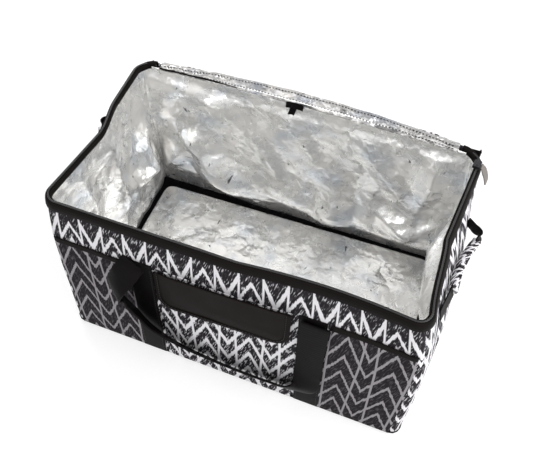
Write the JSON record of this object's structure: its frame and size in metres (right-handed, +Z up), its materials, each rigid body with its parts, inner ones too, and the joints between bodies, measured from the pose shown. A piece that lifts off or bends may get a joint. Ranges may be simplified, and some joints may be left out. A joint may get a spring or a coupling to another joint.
{
  "type": "insulated lunch bag",
  "caption": "Soft open-topped insulated tote with a zip lid hung back, foil lining, webbing carry handles, front pockets and side grab handles.",
  "frame": {"origin": "centre of the base, on the surface that the bag stands on", "axes": "+Z up, +X along the long side to the right as seen from the front, -Y out of the front pocket wall"},
  "size_m": [0.4876, 0.3323, 0.258],
  "materials": {
    "print_cloth": "matte woven polyester with a pale print",
    "pocket_mesh": "fine black mesh",
    "foil_lining": "crinkled silver foil face",
    "foam": "closed-cell foam sheet",
    "webbing": "ribbed satin webbing",
    "flap_cloth": "matte padded cloth",
    "black_tape": "matte woven tape",
    "black_cloth": "coated woven cloth",
    "zip_coil": "moulded nylon coil",
    "slider_metal": "black painted zinc",
    "pull_tab": "moulded grey tab"
  },
  "bodies": {
    "bag": {"front_panel": "print_cloth", "right_panel": "print_cloth", "back_panel": "print_cloth", "left_panel": "print_cloth", "foam_front": "foam", "foam_right": "foam", "foam_back": "foam", "foam_left": "foam", "lining_front": "foil_lining", "lining_right": "foil_lining", "lining_back": "foil_lining", "lining_left": "foil_lining", "base_panel": "black_cloth", "foam_base": "foam", "lining_base": "black_cloth", "rim_zip_tape": "black_tape", "rim_zip_coil": "zip_coil", "lid_hinge_strip": "foil_lining", "rim_tab": "webbing", "front_strap_left": "webbing", "front_strap_right": "webbing", "back_strap_left": "webbing", "back_strap_right": "webbing", "mesh_pocket_left": "pocket_mesh", "mesh_pocket_right": "pocket_mesh", "pocket_binding_left": "black_tape", "pocket_binding_right": "black_tape", "centre_pocket": "print_cloth", "pocket_loop_patch": "black_tape", "grab_tab_left_back": "webbing", "grab_tab_left_front": "webbing", "grab_tab_right_back": "webbing", "grab_tab_right_front": "webbing"},
    "lid": {"lid_panel": "print_cloth", "lid_foam": "foam", "lid_lining": "foil_lining", "lid_zip_tape": "black_tape", "lid_zip_coil": "zip_coil"},
    "base_board": {"base_board": "foil_lining", "base_board_binding": "black_tape"},
    "front_handle": {"front_handle": "webbing"},
    "back_handle": {"back_handle": "webbing"},
    "pocket_flap": {"pocket_flap": "flap_cloth", "flap_hook_patch": "black_tape"},
    "grab_handle_left": {"grab_handle_left": "print_cloth"},
    "grab_handle_right": {"grab_handle_right": "print_cloth"},
    "zip_slider": {"zip_slider": "slider_metal"},
    "zip_pull": {"zip_pull": "pull_tab"}
  },
  "joints": [
    {"name": "lid_swing", "type": "hinge", "parent": "bag", "child": "lid", "pos_m": [0, 0.131, 0.258], "axis": [1, 0, 0], "range_deg": [0, 262]},
    {"name": "front_handle_swing", "type": "hinge", "parent": "bag", "child": "front_handle", "pos_m": [0, -0.127, 0.193], "axis": [-1, 0, 0], "range_deg": [0, 138]},
    {"name": "back_handle_swing", "type": "hinge", "parent": "bag", "child": "back_handle", "pos_m": [0, 0.127, 0.193], "axis": [1, 0, 0], "range_deg": [0, 6]},
    {"name": "flap_lift", "type": "hinge", "parent": "bag", "child": "pocket_flap", "pos_m": [0, -0.1303, 0.193], "axis": [-1, 0, 0], "range_deg": [0, 160]},
    {"name": "grab_swing_left", "type": "hinge", "parent": "bag", "child": "grab_handle_left", "pos_m": [-0.2387, 0.036, 0.2], "axis": [-0.1396, 0.9814, -0.1317], "range_deg": [0, 150]},
    {"name": "grab_swing_right", "type": "hinge", "parent": "bag", "child": "grab_handle_right", "pos_m": [0.2387, 0.036, 0.2], "axis": [-0.1396, -0.9814, 0.1317], "range_deg": [0, 150]},
    {"name": "board_lift", "type": "hinge", "parent": "bag", "child": "base_board", "pos_m": [0.004, -0.124, 0.028], "axis": [1, 0, 0], "range_deg": [0, 45]},
    {"name": "slider_run", "type": "slide", "parent": "bag", "child": "zip_slider", "axis": [-0.0671, -0.9977, 0], "range_m": [0, 0.093]},
    {"name": "pull_tip", "type": "hinge", "parent": "zip_slider", "child": "zip_pull", "pos_m": [0.21779, 0.10066, 0.2507], "axis": [-0.0671, -0.9977, 0], "range_deg": [0, 60]}
  ]
}
